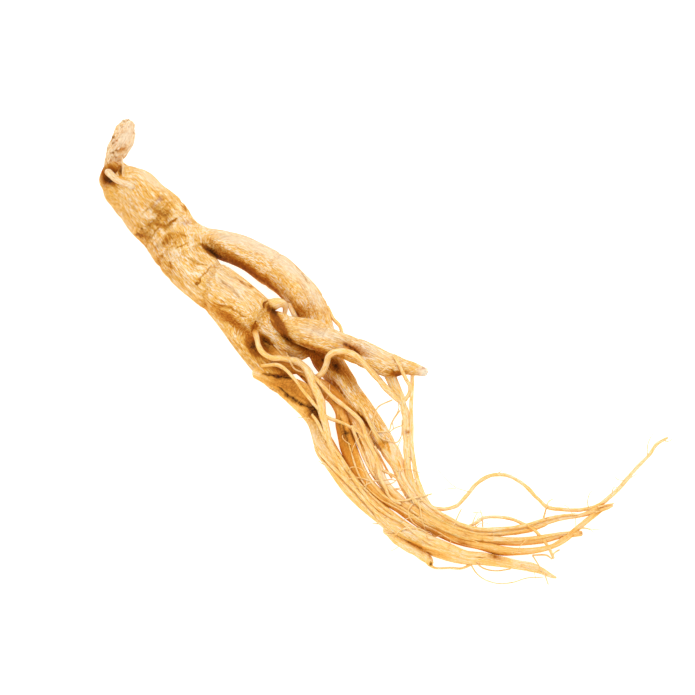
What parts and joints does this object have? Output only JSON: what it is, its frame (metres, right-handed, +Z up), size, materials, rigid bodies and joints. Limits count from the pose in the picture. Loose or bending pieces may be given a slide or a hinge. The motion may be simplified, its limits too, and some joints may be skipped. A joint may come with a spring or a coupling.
{
  "type": "ginseng root",
  "caption": "Dried ginseng root lying on its side: club-shaped neck, stout wrinkled body that forks into legs, a broken side branch and a curved tail of rootlets.",
  "frame": {"origin": "middle of the root's box, on the surface that it lies on", "axes": "+X from the crown's side to the tips of the tail, +Y away from the viewer towards the neck, +Z up"},
  "size_m": [0.2274, 0.2006, 0.0236],
  "materials": {
    "root_skin": "dry matte skin, straw tan, finely wrinkled along the limbs"
  },
  "bodies": {
    "root": {"ginseng_root": "root_skin"}
  },
  "joints": []
}
